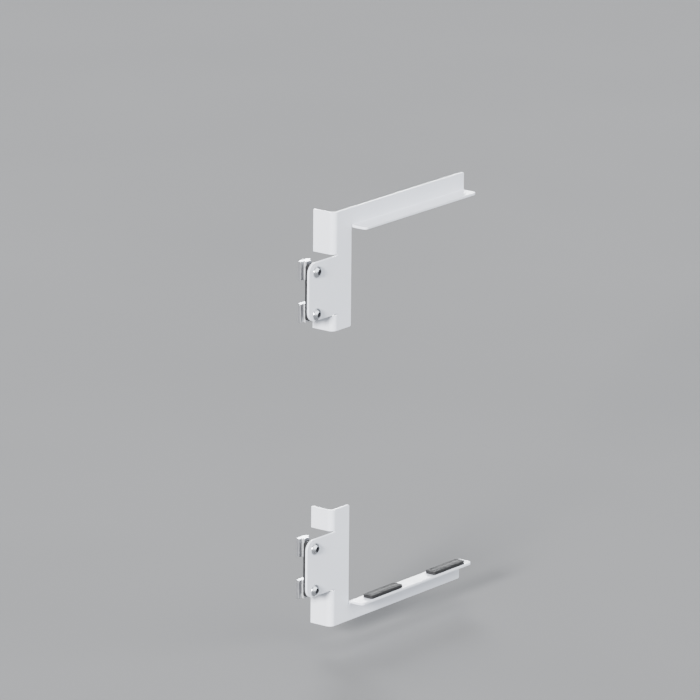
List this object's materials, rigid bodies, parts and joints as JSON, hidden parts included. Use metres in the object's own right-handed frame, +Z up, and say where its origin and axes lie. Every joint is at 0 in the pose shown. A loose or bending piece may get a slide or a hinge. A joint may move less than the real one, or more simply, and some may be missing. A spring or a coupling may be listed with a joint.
{
  "type": "computer holder",
  "caption": "Pair of bent steel brackets that clamp to a slotted desk column and hold an upright desktop computer between two flanged arms.",
  "frame": {"origin": "on the column's side face, on the slot's centre line, midway between the two screws of the lower bracket", "axes": "+X away from the column's side face, +Y along the arms towards the computer, +Z up along the slot"},
  "size_m": [0.049, 0.293, 0.494],
  "materials": {
    "powder_coat": "satin fine-texture powder coat, off-white",
    "screw": "bright zinc plated",
    "slot_nut": "zinc plated",
    "spacer": "black glass-filled nylon",
    "pad": "black ribbed rubber"
  },
  "bodies": {
    "lower_holder": {"lower_bracket": "powder_coat", "lower_spacer": "spacer", "lower_screw_bottom": "screw", "lower_screw_top": "screw", "lower_nut_bottom": "slot_nut", "lower_nut_top": "slot_nut", "pad_front": "pad", "pad_rear": "pad"},
    "upper_holder": {"upper_bracket": "powder_coat", "upper_spacer": "spacer", "upper_screw_bottom": "screw", "upper_screw_top": "screw", "upper_nut_bottom": "slot_nut", "upper_nut_top": "slot_nut"}
  },
  "joints": [
    {"name": "upper_height", "type": "slide", "parent": "lower_holder", "child": "upper_holder", "axis": [0, 0, 1], "range_m": [-0.14, 0.06]}
  ]
}
